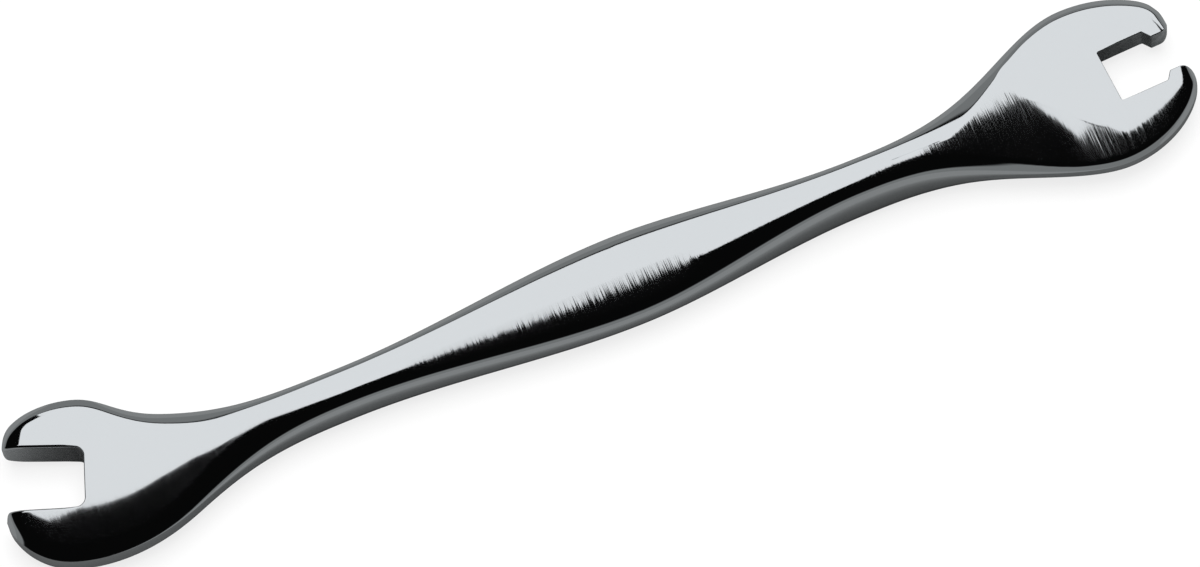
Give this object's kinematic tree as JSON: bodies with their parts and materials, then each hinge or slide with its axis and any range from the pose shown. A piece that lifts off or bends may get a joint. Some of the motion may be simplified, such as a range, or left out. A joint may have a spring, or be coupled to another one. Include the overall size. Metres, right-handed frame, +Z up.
{
  "type": "spoke wrench",
  "caption": "Slim chrome spoke wrench: a handle with a swell for the hand runs between an open jaw and a hooked jaw that turn the square nipples of wheel spokes.",
  "frame": {"origin": "middle of the wrench's box at its underside", "axes": "+X along the handle towards the hooked head, +Z up through the thickness, the wrench lying flat"},
  "size_m": [0.1292, 0.0196, 0.0066],
  "materials": {
    "chrome": "polished steel with bright chrome plate"
  },
  "bodies": {
    "root": {"handle": "chrome", "open_head": "chrome", "hooked_head": "chrome"}
  },
  "joints": []
}
